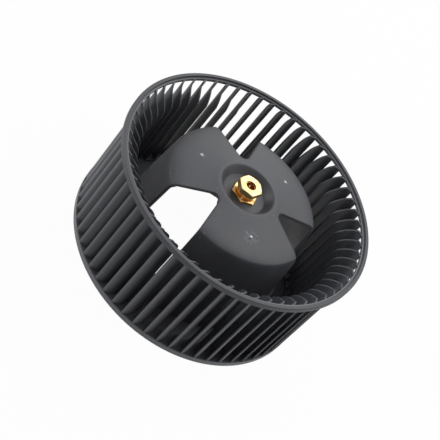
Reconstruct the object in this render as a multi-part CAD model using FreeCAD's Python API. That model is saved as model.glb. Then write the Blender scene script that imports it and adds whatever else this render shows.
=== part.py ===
import FreeCAD, Part
import math
import os
from FreeCAD import Vector

# Forward-curved blower wheel of a range hood, with its brass shaft collet and lock nut.
# Millimetres. +Z is the axis of the wheel. The wheel stands on its hub-end ring at Z = 0,
# with the open inlet at the top. The origin is the centre of that lower face.

# Inlet ring, at the top
inlet_ring_radius = 114.0
inlet_ring_width = 3.1
inlet_ring_height = 4.3
inlet_ledge_width = 2.0
inlet_ledge_drop = 1.7           # from the top of the ring down to the ledge inside it
inlet_ring_edge = 0.5

# Whole wheel and its hub-end plate
wheel_height = 99.4
plate_inset = 4.4                # from the outside of the inlet ring in to the plate's
plate_thickness = 2.6
rim_height = 4.8
rim_width = 17.0

# Blades
blade_count = 59
blade_tip_inset = 4.5            # from the outside of the inlet ring in to the blades' tips
blade_thickness = 1.4
blade_phase = 3.3                # degrees
blade_exit_angle = 72.0          # degrees between the blade and the wheel's radius at the tip
blade_bend_radius = 9.5
blade_turn = 67.0                # degrees that the blade bends, from the tip inwards
blade_straight = 8.2             # length of the straight inner part
blade_corner = ((3.6, 0.0), (4.6, 4.4), (14.9, 6.3), (17.8, 19.4))  # in from the tip, down from the ledge
blade_bite = 0.4                 # how far a blade runs into the rim
blade_top_step = 0.5             # from the ledge down to the blades' tops

# Hub dome, its three windows and its dish
dome_base_radius = 76.9
dome_shoulder_radius = 68.4
dome_shoulder_height = 88.3
dome_shoulder_rounding = 5.5
shoulder_middle_pull = 0.27
dome_crown_radius = 29.0
dome_crown_height = 93.5
dome_wall = 2.3
window_count = 3
window_phase = 5.8
window_side_angle = 30.0
window_apex_distance = 27.1
window_apex_rounding = 5.5
window_sill_height = 24.0
window_sill_rounding = 4.0
dish_lip_radius = 23.9
dish_lip_rise = 0.5
dish_lip_bevel = 1.5
dish_floor_radius = 19.2
dish_floor_height = 87.2
dish_floor_thickness = 3.0
boss_radius = 12.5
boss_length = 22.0

# Brass collet, moulded into the boss
shaft_bore = 8.0
shank_radius = 8.5
flange_across_flats = 21.0
flange_height = 2.7
flange_chamfer = 0.5
flange_turn = 40.0
neck_radius = 6.5                # at the root of the thread
jaw_length = 7.6
jaw_slot_width = 1.2
jaw_slot_foot = 0.8
jaw_slot_turn = 100.0
nose_radius = 4.9

# Brass lock nut
nut_across_flats = 19.0
nut_height = 5.0
nut_gap = 3.9                    # between the flange and the nut
nut_chamfer_angle = 30.0
nut_face_radius = 9.7
nut_turn = 8.3
nut_mouth_radius = 4.5
nut_clearance = 0.05             # running clearance of the thread
nut_seat_clearance = 0.3

axis = Vector(0, 0, 1)
origin = Vector(0, 0, 0)
plate_radius = inlet_ring_radius - plate_inset
blade_tip_radius = inlet_ring_radius - blade_tip_inset
dish_crown_height = dome_crown_height + dish_lip_rise


def point(radius, height):
    return Vector(radius, 0, height)


def polar(radius, degrees, height=0.0):
    turn = math.radians(degrees)
    return Vector(radius * math.cos(turn), radius * math.sin(turn), height)


def rounded_wire(corners):
    """A closed wire through corners (x, z, rounding), each rounded by an arc tangent to its sides."""
    spots = [point(x, z) for x, z, rounding in corners]
    edges = []
    ends = []
    for i, (x, z, rounding) in enumerate(corners):
        here = spots[i]
        if rounding == 0:
            ends.append((here, here))
            continue
        back = (spots[i - 1] - here).normalize()
        ahead = (spots[(i + 1) % len(spots)] - here).normalize()
        half = back.getAngle(ahead) / 2
        reach = rounding / math.tan(half)
        middle = (back + ahead).normalize()
        top = here + middle * (rounding / math.sin(half) - rounding)
        start = here + back * reach
        end = here + ahead * reach
        edges.append(Part.Arc(start, top, end).toShape())
        ends.append((start, end))
    for i in range(len(spots)):
        start = ends[i - 1][1]
        end = ends[i][0]
        if (end - start).Length > 1e-6:
            edges.append(Part.LineSegment(start, end).toShape())
    return Part.Wire(Part.__sortEdges__(edges))


def turned(corners):
    """The solid of revolution of a rounded outline about the wheel's axis."""
    return Part.Face(rounded_wire(corners)).revolve(origin, axis, 360)


def hexagon(across_flats, degrees, low, high):
    corner_radius = across_flats / math.sqrt(3)
    corners = [polar(corner_radius, degrees + 60 * i, low) for i in range(7)]
    return Part.Face(Part.makePolygon(corners)).extrude(axis * (high - low))


def chamfered_hexagon(across_flats, degrees, low, high, face_radius, angle, both_ends):
    """A hexagon bar whose corners are turned off by a cone, at the top or at both ends."""
    corner_radius = across_flats / math.sqrt(3)
    drop = (corner_radius - face_radius + 1) * math.tan(math.radians(angle))
    far = corner_radius + 1
    top = [(0, low), (far, low), (far, high - drop), (face_radius, high), (0, high)]
    if both_ends:
        top = [(0, low), (face_radius, low), (far, low + drop)] + top[2:]
    cone = turned([(x, z, 0) for x, z in top])
    return hexagon(across_flats, degrees, low, high).common(cone)


def inlet_ring():
    low = wheel_height - inlet_ring_height
    inner = inlet_ring_radius - inlet_ring_width
    ledge = inner - inlet_ledge_width
    shelf = wheel_height - inlet_ledge_drop
    edge = inlet_ring_edge
    outline = [
        (ledge, low), (inlet_ring_radius, low), (inlet_ring_radius, wheel_height - edge),
        (inlet_ring_radius - edge, wheel_height), (inner, wheel_height), (inner, shelf), (ledge, shelf),
    ]
    return turned([(x, z, 0) for x, z in outline])


def blade_section():
    """One blade's section: an arc inwards from the tip, then a straight part to the inner edge."""
    first = blade_phase - blade_exit_angle + 90
    centre = polar(blade_tip_radius - blade_thickness / 2, blade_phase) - polar(blade_bend_radius, first)
    inward = polar(-blade_straight, first + blade_turn - 90)

    def on_arc(radius, share):
        return centre + polar(radius, first + blade_turn * share)

    def bent(radius):
        return Part.Arc(on_arc(radius, 0), on_arc(radius, 0.5), on_arc(radius, 1)).toShape()

    def line(start, end):
        return Part.LineSegment(start, end).toShape()

    convex = blade_bend_radius + blade_thickness / 2
    concave = blade_bend_radius - blade_thickness / 2
    return Part.Face(Part.Wire([
        bent(convex),
        line(on_arc(convex, 1), on_arc(convex, 1) + inward),
        line(on_arc(convex, 1) + inward, on_arc(concave, 1) + inward),
        line(on_arc(concave, 1) + inward, on_arc(concave, 1)),
        bent(concave),
        line(on_arc(concave, 0), on_arc(convex, 0)),
    ]))


def corner_cutter():
    """What the rounded inner corner of a blade leaves free, at the phase of the first blade."""
    ledge = wheel_height - inlet_ledge_drop
    poles = [point(blade_tip_radius - inward, ledge - down) for inward, down in blade_corner]
    start, end = poles[0], poles[-1]
    rounding = Part.BezierCurve()
    rounding.setPoles(poles)
    around = [end, point(end.x, wheel_height), point(start.x, wheel_height), start]
    edges = [Part.LineSegment(a, b).toShape() for a, b in zip(around, around[1:])]
    pitch_length = 2 * math.pi * blade_tip_radius / blade_count
    flat = Part.Face(Part.Wire(edges + [rounding.toShape()]))
    flat.translate(Vector(0, -pitch_length, 0))
    cutter = flat.extrude(Vector(0, 2 * pitch_length, 0))
    cutter.rotate(origin, axis, blade_phase + 180 / blade_count)
    return cutter


def blade():
    """A blade up to just under the ledge of the inlet ring, with its inner corner there rounded off."""
    foot = rim_height - blade_bite
    top = wheel_height - inlet_ledge_drop - blade_top_step
    section = blade_section()
    section.translate(axis * foot)
    return section.extrude(axis * (top - foot)).cut(corner_cutter())


def plate_and_rim():
    """The hub-end plate, from the dome's wall out to the low rim that ends the blades."""
    inner = dome_base_radius - dome_wall / 2
    rim = plate_radius - rim_width
    outline = [
        (inner, 0), (plate_radius, 0), (plate_radius, rim_height),
        (rim, rim_height), (rim, plate_thickness), (inner, plate_thickness),
    ]
    return turned([(x, z, 0) for x, z in outline])


def dome():
    """The hub: a drafted wall, a shallow cone, the dish at its middle and the boss below."""
    crown_fall = (dome_crown_height - dome_shoulder_height) / (dome_shoulder_radius - dome_crown_radius)
    draft = (dome_base_radius - dome_shoulder_radius) / dome_shoulder_height
    crown_drop = dome_wall * math.hypot(1, crown_fall)
    wall_step = dome_wall * math.hypot(1, draft)
    dish_slope = (dish_lip_radius - dish_floor_radius) / (dish_crown_height - dish_floor_height)
    dish_step = dome_wall * math.hypot(1, dish_slope)
    floor_under = dish_floor_height - dish_floor_thickness
    boss_low = dish_floor_height - boss_length

    def under_crown(radius):
        return dome_crown_height - crown_drop - (radius - dome_crown_radius) * crown_fall

    def dish_back(height):
        return dish_floor_radius + dish_step + (height - dish_floor_height) * dish_slope

    inner_shoulder = (dome_shoulder_radius - wall_step) + draft * crown_drop
    inside_chamfer = max(dome_shoulder_rounding - dome_wall, dome_wall / 4)
    neck = dish_back(under_crown(dish_lip_radius + dish_step))
    shoulder = point(dome_shoulder_radius, dome_shoulder_height)
    down_wall = (point(dome_base_radius, 0) - shoulder).normalize()
    up_crown = (point(dome_crown_radius, dome_crown_height) - shoulder).normalize()
    low_corner = shoulder + down_wall * dome_shoulder_rounding
    high_corner = shoulder + up_crown * dome_shoulder_rounding
    middle_corner = shoulder + (down_wall + up_crown) * (dome_shoulder_rounding * shoulder_middle_pull)
    return turned([
        (dome_base_radius, 0, 0),
        (low_corner.x, low_corner.z, 0),
        (middle_corner.x, middle_corner.z, 0),
        (high_corner.x, high_corner.z, 0),
        (dome_crown_radius, dome_crown_height, 0),
        (dome_crown_radius - dish_lip_bevel, dish_crown_height, 0),
        (dish_lip_radius + dish_lip_bevel / 2, dish_crown_height, 0),
        (dish_lip_radius - dish_lip_bevel / 2, dish_crown_height - dish_lip_bevel, 0),
        (dish_floor_radius, dish_floor_height, 0),
        (shank_radius, dish_floor_height, 0),
        (shank_radius, boss_low, 0),
        (boss_radius, boss_low, 0),
        (boss_radius, floor_under, 0),
        (dish_back(floor_under), floor_under, 0),
        (neck, under_crown(neck), 0),
        (inner_shoulder - inside_chamfer, under_crown(inner_shoulder - inside_chamfer), 0),
        (inner_shoulder + draft * inside_chamfer, under_crown(inner_shoulder) - inside_chamfer, 0),
        (dome_base_radius - wall_step, 0, 0),
    ])


def window():
    """The cutter of one window: a wedge with a rounded point, from its sill up through the crown."""
    reach = dome_base_radius + dome_wall
    spread = (reach - window_apex_distance) * math.tan(math.radians(window_side_angle))
    flat = rounded_wire([
        (window_apex_distance, 0, window_apex_rounding),
        (reach, spread, 0),
        (reach, -spread, 0),
    ])
    flat.rotate(origin, Vector(1, 0, 0), -90)
    flat.translate(axis * window_sill_height)
    cutter = Part.Face(flat).extrude(axis * wheel_height)
    sills = [
        edge for edge in cutter.Edges
        if abs(edge.BoundBox.ZMax - window_sill_height) < 1e-6 and edge.BoundBox.XMax > dome_base_radius
        and edge.BoundBox.XMin < dome_shoulder_radius
    ]
    return cutter.makeFillet(window_sill_rounding, sills)


def fan_wheel():
    pitch = 360 / blade_count
    first = blade()
    blades = []
    for i in range(blade_count):
        copy = first.copy()
        copy.rotate(origin, axis, pitch * i)
        blades.append(copy)
    cutter = window()
    windows = []
    for i in range(window_count):
        copy = cutter.copy()
        copy.rotate(origin, axis, window_phase + 360 / window_count * i)
        windows.append(copy)
    hub = dome().cut(windows)
    cage = inlet_ring().multiFuse([plate_and_rim()] + blades)
    return cage.fuse(hub).removeSplitter()


def collet():
    """The brass collet: a smooth shank, a hexagon flange, and a threaded neck slotted into two jaws."""
    flange_top = dish_floor_height + flange_height
    low = dish_floor_height - boss_length
    tip = flange_top + jaw_length
    nose_length = neck_radius - nose_radius
    shank = Part.makeCylinder(shank_radius, boss_length + flange_height / 2, point(0, low), axis)
    flange = chamfered_hexagon(
        flange_across_flats, flange_turn, dish_floor_height, flange_top,
        flange_across_flats / 2 - flange_chamfer, 30, False)
    neck = turned([
        (0, dish_floor_height, 0), (neck_radius, dish_floor_height, 0), (neck_radius, tip - nose_length, 0),
        (nose_radius, tip, 0), (0, tip, 0),
    ])
    bore = Part.makeCylinder(shaft_bore / 2, tip - low, point(0, low), axis)
    slot = Part.makeBox(neck_radius * 3, jaw_slot_width, jaw_length,
                        Vector(-neck_radius * 1.5, -jaw_slot_width / 2, flange_top + jaw_slot_foot))
    slot.rotate(origin, axis, jaw_slot_turn)
    return shank.fuse([flange, neck]).cut([bore, slot])


def lock_nut():
    """The brass nut: threaded below, with a seat above that closes the jaws on the shaft."""
    flange_top = dish_floor_height + flange_height
    low = flange_top + nut_gap
    high = low + nut_height
    bar = chamfered_hexagon(nut_across_flats, nut_turn, low, high, nut_face_radius, nut_chamfer_angle, True)
    hole = neck_radius + nut_clearance
    nose_length = neck_radius - nose_radius
    seat = flange_top + jaw_length - nose_length + nut_seat_clearance
    seat_end = seat + hole - nut_mouth_radius
    bore = turned([
        (0, low - 1, 0), (hole, low - 1, 0), (hole, seat, 0), (nut_mouth_radius, seat_end, 0),
        (nut_mouth_radius, high + 1, 0), (0, high + 1, 0),
    ])
    return bar.cut(bore)


def export():
    os.makedirs("parts", exist_ok=True)
    nodes = {
        "fan_wheel": fan_wheel(),
        "shaft_collet": collet(),
        "lock_nut": lock_nut(),
    }
    for name, shape in nodes.items():
        shape.exportStep("parts/" + name + ".step")
        print(name, shape.ShapeType, len(shape.Solids), shape.isValid(), round(shape.Volume, 1))


export()
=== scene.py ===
import math

import bmesh
import bpy
from mathutils import Matrix, Vector


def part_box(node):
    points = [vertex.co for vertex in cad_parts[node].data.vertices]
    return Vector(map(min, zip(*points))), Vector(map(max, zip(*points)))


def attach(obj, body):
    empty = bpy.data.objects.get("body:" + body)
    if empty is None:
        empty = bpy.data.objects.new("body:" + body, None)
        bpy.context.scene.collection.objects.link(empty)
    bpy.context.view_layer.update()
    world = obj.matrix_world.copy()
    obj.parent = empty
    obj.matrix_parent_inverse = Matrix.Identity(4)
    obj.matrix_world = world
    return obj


# The blower wheel of a range hood: black moulded cage and hub, brass collet, brass lock nut.
# Metres, Z along the wheel's axis, inlet up. Angles are in degrees.

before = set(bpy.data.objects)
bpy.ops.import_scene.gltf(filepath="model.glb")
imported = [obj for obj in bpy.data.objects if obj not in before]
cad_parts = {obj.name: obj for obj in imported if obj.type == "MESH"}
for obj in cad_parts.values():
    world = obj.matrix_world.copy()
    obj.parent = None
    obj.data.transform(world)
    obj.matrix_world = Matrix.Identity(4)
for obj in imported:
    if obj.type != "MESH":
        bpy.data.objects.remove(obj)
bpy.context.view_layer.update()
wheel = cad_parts["fan_wheel"]
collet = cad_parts["shaft_collet"]
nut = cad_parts["lock_nut"]

MM = 0.001

# Sizes that the solids have

TIP_RADIUS = 109.5 * MM
CROWN_RADIUS = 29.0 * MM
CROWN_HEIGHT = 93.5 * MM
SHOULDER_RADIUS = 68.4 * MM
SHOULDER_HEIGHT = 88.3 * MM
CROWN_FALL = (CROWN_HEIGHT - SHOULDER_HEIGHT) / (SHOULDER_RADIUS - CROWN_RADIUS)
PETALS = 3
WINDOW_PHASE = 5.8
FLANGE_TOP = 89.9 * MM
NECK_RADIUS = 6.5 * MM
NUT_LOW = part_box("lock_nut")[0].z

# Thread on the collet's neck

THREAD_RISE = 1.5 * MM
THREAD_CREST = 7.0 * MM
THREAD_BITE = 0.1 * MM
THREAD_END_GAP = 0.2 * MM
THREAD_HALF_WIDTH = 0.45 * MM
CREST_HALF_WIDTH = 0.06 * MM
STEPS_PER_TURN = 40

# Scars and scuffs of the moulding gates

GATE_DISTANCE = 46.0 * MM
SCAR_RADIUS = 1.6 * MM
SCAR_HEIGHT = 0.35 * MM
SCAR_TAPER = 0.9
SCAR_SIDES = 24
SCUFF_REACH = (3.2 * MM, 4.2 * MM, 8.5 * MM)
SCUFF_CORE = 0.3

# Meshes: points this near to each other are one, and an edge that turns by more degrees is sharp

SAME_POINT = 0.0001 * MM
SAME_CAD_POINT = 0.002 * MM
CREASE_ANGLE = 32

# Plastic: a painted highlight in the thin ring of the blades' tips, with softer edges on the hub than on
# the blades

BLACK = (0.048, 0.049, 0.056, 1)
CLOUDED_BLACK = (0.060, 0.062, 0.070, 1)
DUST = (0.22, 0.22, 0.23, 1)
# Painted highlight along the blades' tips
TIP_HIGHLIGHT = (0.14, 0.143, 0.154, 1)
SCUFFED = (0.33, 0.34, 0.36, 1)
TORN_DARK = (0.16, 0.16, 0.17, 1)
TORN_PALE = (0.62, 0.63, 0.65, 1)
# The ring that the painted highlight at the blades' tips lies in
TIP_HIGHLIGHT_BEGINS = TIP_RADIUS - 1.4 * MM
TIP_HIGHLIGHT_FULL = TIP_RADIUS - 0.2 * MM
TIP_HIGHLIGHT_FADES = TIP_RADIUS + 0.3 * MM
TIP_HIGHLIGHT_ENDS = TIP_RADIUS + 0.7 * MM
HUB_FULL = 75.0 * MM
HUB_ENDS = 76.0 * MM
BLADE_EDGE = 0.35 * MM
HUB_EDGE = 2.6 * MM
SCAR_EDGE = 0.2 * MM

# Brass

NUT_BRIGHT = (0.72, 0.56, 0.30, 1)
NUT_DEEP = (0.62, 0.45, 0.20, 1)
COLLET_BRIGHT = (0.86, 0.55, 0.22, 1)
COLLET_DEEP = (0.70, 0.38, 0.13, 1)
TARNISH_DULLS = 0.14
BRASS_EDGE = 0.25 * MM

# Studio. The sensor's width and the lens are in millimetres, as a camera takes them.

WHITE = (1, 1, 1, 1)
FLOOR_GREY = (0.6, 0.6, 0.6, 1)
FLOOR_SHADOW = 0.03
FLOOR_HALF_WIDTH = 6
FLOOR_DROP = 0.3 * MM
WORLD_LEVEL = 0.5
LIGHT_DISTANCE = 1.25
LIGHT_AIM = Vector((0, 0, 60 * MM))
SENSOR_WIDTH = 36.0
LENS = 97.86
CAMERA_PLACE = (-0.00081, -0.73361, 0.70982)
CAMERA_TILT = 47.98
CAMERA_SWING = -0.057
CAMERA_ROLL = 42.567


# Turns, meshes and objects

def turn(degrees, axis):
    return Matrix.Rotation(math.radians(degrees), 4, axis)


def shade_smooth(mesh):
    mesh.polygons.foreach_set("use_smooth", [True] * len(mesh.polygons))


def add_object(name, data):
    made = bpy.data.objects.new(name, data)
    bpy.context.scene.collection.objects.link(made)
    return made


def add_shape(name, shape, material):
    """A bmesh becomes an object of the scene, with its finish."""
    mesh = bpy.data.meshes.new(name)
    shape.to_mesh(mesh)
    shape.free()
    mesh.materials.append(material)
    return add_object(name, mesh)


# Nodes of a material

def feed(tree, socket, value):
    """A socket gets a plain value, or what another node gives."""
    if isinstance(value, bpy.types.NodeSocket):
        tree.links.new(value, socket)
    else:
        socket.default_value = value


def new_finish(name):
    material = bpy.data.materials.new(name)
    material.use_nodes = True
    tree = material.node_tree
    shader = tree.nodes["Principled BSDF"]
    return material, tree, shader


def own_places(tree):
    """Every place on the object, in its own coordinates."""
    return tree.nodes.new("ShaderNodeTexCoord").outputs["Object"]


def across_axis(tree, places):
    """The same places, brought down to one level across the wheel's axis."""
    flat = tree.nodes.new("ShaderNodeMapping")
    feed(tree, flat.inputs["Scale"], (1, 1, 0))
    feed(tree, flat.inputs["Vector"], places)
    return flat.outputs["Vector"]


def grain(tree, places, scale, detail, roughness=0.55):
    noise = tree.nodes.new("ShaderNodeTexNoise")
    feed(tree, noise.inputs["Scale"], scale)
    feed(tree, noise.inputs["Detail"], detail)
    feed(tree, noise.inputs["Roughness"], roughness)
    feed(tree, noise.inputs["Vector"], places)
    return noise.outputs["Fac"]


def ranged(tree, value, span, result):
    """A span of values becomes the resulting one, which is held beyond its ends."""
    node = tree.nodes.new("ShaderNodeMapRange")
    for name, number in zip(("From Min", "From Max", "To Min", "To Max"), (*span, *result)):
        feed(tree, node.inputs[name], number)
    feed(tree, node.inputs["Value"], value)
    return node.outputs["Result"]


def nearness(tree, places, centre, full, ends):
    """One up to a first distance from a centre, falling to nought at a second."""
    distance = tree.nodes.new("ShaderNodeVectorMath")
    distance.operation = "DISTANCE"
    feed(tree, distance.inputs[0], places)
    feed(tree, distance.inputs[1], centre)
    return ranged(tree, distance.outputs["Value"], span=(full, ends), result=(1, 0))


def combined(tree, operation, first, second):
    node = tree.nodes.new("ShaderNodeMath")
    node.operation = operation
    feed(tree, node.inputs[0], first)
    feed(tree, node.inputs[1], second)
    return node.outputs["Value"]


def blended(tree, share, first, second):
    """The first colour where the share is nought, the second where it is one."""
    node = tree.nodes.new("ShaderNodeMix")
    node.data_type = "RGBA"
    feed(tree, node.inputs["Factor"], share)
    feed(tree, node.inputs["A"], first)
    feed(tree, node.inputs["B"], second)
    return node.outputs["Result"]


def mixed_shaders(tree, share, first, second):
    """The first shader where the share is nought, the second where it is one."""
    node = tree.nodes.new("ShaderNodeMixShader")
    feed(tree, node.inputs["Fac"], share)
    feed(tree, node.inputs[1], first)
    feed(tree, node.inputs[2], second)
    return node.outputs["Shader"]


def relief(tree, shader, heights, edge_radius):
    """Bumps from (height, strength, distance) one after another, over softly shaded edges."""
    edge = tree.nodes.new("ShaderNodeBevel")
    edge.samples = 8
    feed(tree, edge.inputs["Radius"], edge_radius)
    normal = edge.outputs["Normal"]
    for height, strength, distance in heights:
        bump = tree.nodes.new("ShaderNodeBump")
        feed(tree, bump.inputs["Strength"], strength)
        feed(tree, bump.inputs["Distance"], distance)
        feed(tree, bump.inputs["Height"], height)
        feed(tree, bump.inputs["Normal"], normal)
        normal = bump.outputs["Normal"]
    feed(tree, shader.inputs["Normal"], normal)


# Finishes

def gate_places():
    """The moulding gates, one on each petal of the hub, halfway between two windows."""
    height = CROWN_HEIGHT - (GATE_DISTANCE - CROWN_RADIUS) * CROWN_FALL
    for petal in range(PETALS):
        around = WINDOW_PHASE + 360 / PETALS * (petal + 0.5)
        yield turn(around, "Z") @ Vector((GATE_DISTANCE, 0, height))


def dusty_black(tree, places, cloud):
    """Two blacks in soft clouds, with a few pale specks of dust."""
    clouded = blended(tree, ranged(tree, cloud, span=(0.35, 0.65), result=(0, 1)), BLACK, CLOUDED_BLACK)
    dust = grain(tree, places, scale=520, detail=2, roughness=0.4)
    return blended(tree, ranged(tree, dust, span=(0.71, 0.76), result=(0, 0.5)), clouded, DUST)


def with_painted_tip_highlight(tree, flat_places, colour):
    """A paler colour in the thin ring where the blades' tips lie: a painted highlight on the tips."""
    short_of_tips = nearness(tree, flat_places, (0, 0, 0), TIP_HIGHLIGHT_BEGINS, TIP_HIGHLIGHT_FULL)
    short_of_ring = nearness(tree, flat_places, (0, 0, 0), TIP_HIGHLIGHT_FADES, TIP_HIGHLIGHT_ENDS)
    tip_highlight_share = combined(tree, "SUBTRACT", short_of_ring, short_of_tips)
    return blended(tree, tip_highlight_share, colour, TIP_HIGHLIGHT)


def with_scuffed_gates(tree, places, colour):
    """Streaky scuffs round the moulding gates, each with a reach of its own."""
    grain_of_scuffs = grain(tree, places, scale=760, detail=2, roughness=0.6)
    streaks = ranged(tree, grain_of_scuffs, span=(0.55, 0.63), result=(0, 0.8))
    for gate, reach in zip(gate_places(), SCUFF_REACH):
        near_gate = nearness(tree, places, gate, SCUFF_CORE * reach, reach)
        colour = blended(tree, combined(tree, "MULTIPLY", near_gate, streaks), colour, SCUFFED)
    return colour


def moulded_plastic():
    """Black plastic straight from the mould: satin, faintly clouded, with a painted highlight at the
    blades' tips.
    """
    material, tree, shader = new_finish("black_moulded_plastic")
    places = own_places(tree)
    flat_places = across_axis(tree, places)
    cloud = grain(tree, places, scale=38, detail=4)
    fine = grain(tree, places, scale=900, detail=2)
    colour = dusty_black(tree, places, cloud)
    # The blades' tips get a painted highlight
    colour = with_painted_tip_highlight(tree, flat_places, colour)
    colour = with_scuffed_gates(tree, places, colour)
    feed(tree, shader.inputs["Base Color"], colour)
    feed(tree, shader.inputs["Roughness"], ranged(tree, cloud, span=(0.3, 0.7), result=(0.46, 0.56)))
    feed(tree, shader.inputs["IOR"], 1.5)
    feed(tree, shader.inputs["Specular IOR Level"], 0.38)
    on_hub = nearness(tree, flat_places, (0, 0, 0), HUB_FULL, HUB_ENDS)
    edge_radius = ranged(tree, on_hub, span=(0, 1), result=(BLADE_EDGE, HUB_EDGE))
    relief(tree, shader, [(fine, 0.10, 0.2 * MM), (cloud, 0.12, 1.5 * MM)], edge_radius)
    return material


def scar_plastic():
    """Where a gate was broken off the plastic is paler and rough."""
    material, tree, shader = new_finish("gate_scar_plastic")
    torn = grain(tree, own_places(tree), scale=1400, detail=3)
    colour = blended(tree, ranged(tree, torn, span=(0.4, 0.6), result=(0, 1)), TORN_DARK, TORN_PALE)
    feed(tree, shader.inputs["Base Color"], colour)
    feed(tree, shader.inputs["Roughness"], 0.7)
    relief(tree, shader, [(torn, 0.5, 0.3 * MM)], SCAR_EDGE)
    return material


def turned_brass(name, bright, deep, roughness, rings):
    """Brass with the fine rings that the lathe tool leaves about the axis."""
    material, tree, shader = new_finish(name)
    places = own_places(tree)
    ring = tree.nodes.new("ShaderNodeTexWave")
    ring.wave_type = "RINGS"
    ring.rings_direction = "SPHERICAL"
    feed(tree, ring.inputs["Scale"], rings)
    feed(tree, ring.inputs["Distortion"], 0.4)
    feed(tree, ring.inputs["Vector"], across_axis(tree, places))
    tarnish = grain(tree, places, scale=260, detail=4)
    colour = blended(tree, ranged(tree, tarnish, span=(0.35, 0.7), result=(0, 1)), bright, deep)
    feed(tree, shader.inputs["Base Color"], colour)
    feed(tree, shader.inputs["Metallic"], 1)
    dulled = ranged(tree, tarnish, span=(0.3, 0.7), result=(roughness, roughness + TARNISH_DULLS))
    feed(tree, shader.inputs["Roughness"], dulled)
    relief(tree, shader, [(ring.outputs["Fac"], 0.12, 0.1 * MM), (tarnish, 0.08, 0.2 * MM)], BRASS_EDGE)
    return material


def dress(node, material):
    """A CAD node takes its finish, with its triangles joined and its curved faces shaded smooth."""
    node.data.materials.clear()
    node.data.materials.append(material)
    shade_smooth(node.data)
    joined = node.modifiers.new("joined", "WELD")
    joined.merge_threshold = SAME_CAD_POINT
    creases = node.modifiers.new("creases", "EDGE_SPLIT")
    creases.split_angle = math.radians(CREASE_ANGLE)
    faces = node.modifiers.new("flat_faces", "WEIGHTED_NORMAL")
    faces.weight = 80
    faces.keep_sharp = True


nut_brass = turned_brass("faced_nut_brass", NUT_BRIGHT, NUT_DEEP, roughness=0.34, rings=900)
collet_brass = turned_brass("collet_brass", COLLET_BRIGHT, COLLET_DEEP, roughness=0.26, rings=700)
dress(wheel, moulded_plastic())
dress(collet, collet_brass)
dress(nut, nut_brass)


# Pieces of the scene's own

def finished(name, shape, material, body):
    """A bmesh becomes a piece in its place, with its finish, riding on its body."""
    bmesh.ops.remove_doubles(shape, verts=shape.verts, dist=SAME_POINT)
    bmesh.ops.recalc_face_normals(shape, faces=shape.faces)
    piece = add_shape(name, shape, material)
    shade_smooth(piece.data)
    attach(piece, body)


def thread_ridge():
    """The ridge of the collet's thread, wound up its neck from the flange to the nut."""
    shape = bmesh.new()
    root = NECK_RADIUS - THREAD_BITE
    low = FLANGE_TOP + THREAD_END_GAP
    middle = low + THREAD_HALF_WIDTH
    high = middle + THREAD_HALF_WIDTH
    profile = [(root, low), (THREAD_CREST, middle - CREST_HALF_WIDTH),
               (THREAD_CREST, middle + CREST_HALF_WIDTH), (root, high)]
    corners = [shape.verts.new((x, 0, z)) for x, z in profile]
    face = shape.faces.new(corners)
    turns = (NUT_LOW - THREAD_END_GAP - high) / THREAD_RISE
    steps = round(turns * STEPS_PER_TURN)
    bmesh.ops.spin(
        shape, geom=[face, *face.edges, *corners], cent=(0, 0, 0), axis=(0, 0, 1),
        angle=math.tau * turns, steps=steps, dvec=(0, 0, THREAD_RISE * turns / steps))
    finished("collet_thread", shape, collet_brass, "wheel")


def gate_scars():
    """The low round scars of the moulding gates, one on each petal of the hub."""
    shape = bmesh.new()
    for gate in gate_places():
        place = Matrix.Translation(gate)
        disc = bmesh.ops.create_circle(
            shape, cap_ends=True, radius=SCAR_RADIUS, segments=SCAR_SIDES, matrix=place)
        face = disc["verts"][0].link_faces[0]
        raised = bmesh.ops.extrude_face_region(shape, geom=[face])["geom"]
        top = [e for e in raised if isinstance(e, bmesh.types.BMVert)]
        bmesh.ops.translate(shape, verts=top, vec=(0, 0, SCAR_HEIGHT))
        bmesh.ops.scale(shape, verts=top, vec=(SCAR_TAPER, SCAR_TAPER, 1), space=place.inverted())
    finished("gate_scars", shape, scar_plastic(), "wheel")


thread_ridge()
gate_scars()


# Floor, lights and camera

def floor_finish():
    """Seen straight on, in gloss or through glass the floor is near white and keeps a faint shadow."""
    material, tree, shader = new_finish("pale_floor")
    feed(tree, shader.inputs["Base Color"], FLOOR_GREY)
    feed(tree, shader.inputs["Roughness"], 0.9)
    lit = shader.outputs["BSDF"]
    paths = tree.nodes.new("ShaderNodeLightPath").outputs
    seen = combined(tree, "MAXIMUM", paths["Is Camera Ray"], paths["Is Glossy Ray"])
    seen = combined(tree, "MAXIMUM", seen, paths["Is Transmission Ray"])
    white = tree.nodes.new("ShaderNodeEmission")
    feed(tree, white.inputs["Color"], WHITE)
    feed(tree, white.inputs["Strength"], 1)
    shadowed = mixed_shaders(tree, FLOOR_SHADOW, white.outputs["Emission"], lit)
    shown = mixed_shaders(tree, seen, lit, shadowed)
    feed(tree, tree.nodes["Material Output"].inputs["Surface"], shown)
    return material


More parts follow.
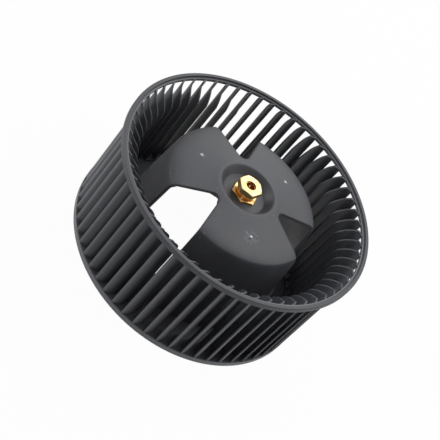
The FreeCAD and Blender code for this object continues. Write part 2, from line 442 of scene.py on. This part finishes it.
def pale_floor():
    shape = bmesh.new()
    bmesh.ops.create_grid(shape, x_segments=1, y_segments=1, size=FLOOR_HALF_WIDTH)
    bmesh.ops.translate(shape, verts=shape.verts, vec=(0, 0, -FLOOR_DROP))
    floor = add_shape("floor", shape, floor_finish())


def background(tree, node, level):
    """A white background of the world at one level of light."""
    feed(tree, node.inputs["Color"], WHITE)
    feed(tree, node.inputs["Strength"], level)
    return node.outputs["Background"]


def white_world():
    """The world is pure white to the camera and lights the object at a lower level."""
    world = bpy.data.worlds.new("studio")
    bpy.context.scene.world = world
    world.use_nodes = True
    tree = world.node_tree
    lit = background(tree, tree.nodes["Background"], WORLD_LEVEL)
    seen = background(tree, tree.nodes.new("ShaderNodeBackground"), 1)
    to_camera = tree.nodes.new("ShaderNodeLightPath").outputs["Is Camera Ray"]
    feed(tree, tree.nodes["World Output"].inputs["Surface"], mixed_shaders(tree, to_camera, lit, seen))


def soft_light(name, around, above, size, watts):
    """A round softbox, its place given in degrees about the wheel's axis and above the floor."""
    light = bpy.data.lights.new(name, "AREA")
    light.shape = "DISK"
    light.size = size
    light.energy = watts
    lamp = add_object(name, light)
    lamp.location = LIGHT_AIM + turn(around, "Z") @ turn(-above, "Y") @ Vector((LIGHT_DISTANCE, 0, 0))
    lamp.rotation_euler = (LIGHT_AIM - lamp.location).to_track_quat("-Z", "Y").to_euler()


def photo_camera():
    """The photograph's camera: it looks down at 42 degrees and is rolled 42.6 degrees to its left."""
    data = bpy.data.cameras.new("photo_camera")
    data.sensor_width = SENSOR_WIDTH
    data.lens = LENS
    camera = add_object("photo_camera", data)
    turned = turn(CAMERA_TILT, "X") @ turn(CAMERA_SWING, "Y") @ turn(CAMERA_ROLL, "Z")
    camera.matrix_world = Matrix.Translation(CAMERA_PLACE) @ turned
    bpy.context.scene.camera = camera


pale_floor()
white_world()
soft_light("high_back_light", around=62, above=58, size=0.6, watts=5)
soft_light("back_light", around=96, above=32, size=0.6, watts=4)
soft_light("right_light", around=25, above=34, size=0.6, watts=3)
soft_light("left_light", around=184, above=14, size=0.5, watts=7)
photo_camera()
bpy.context.scene.view_settings.view_transform = "Standard"
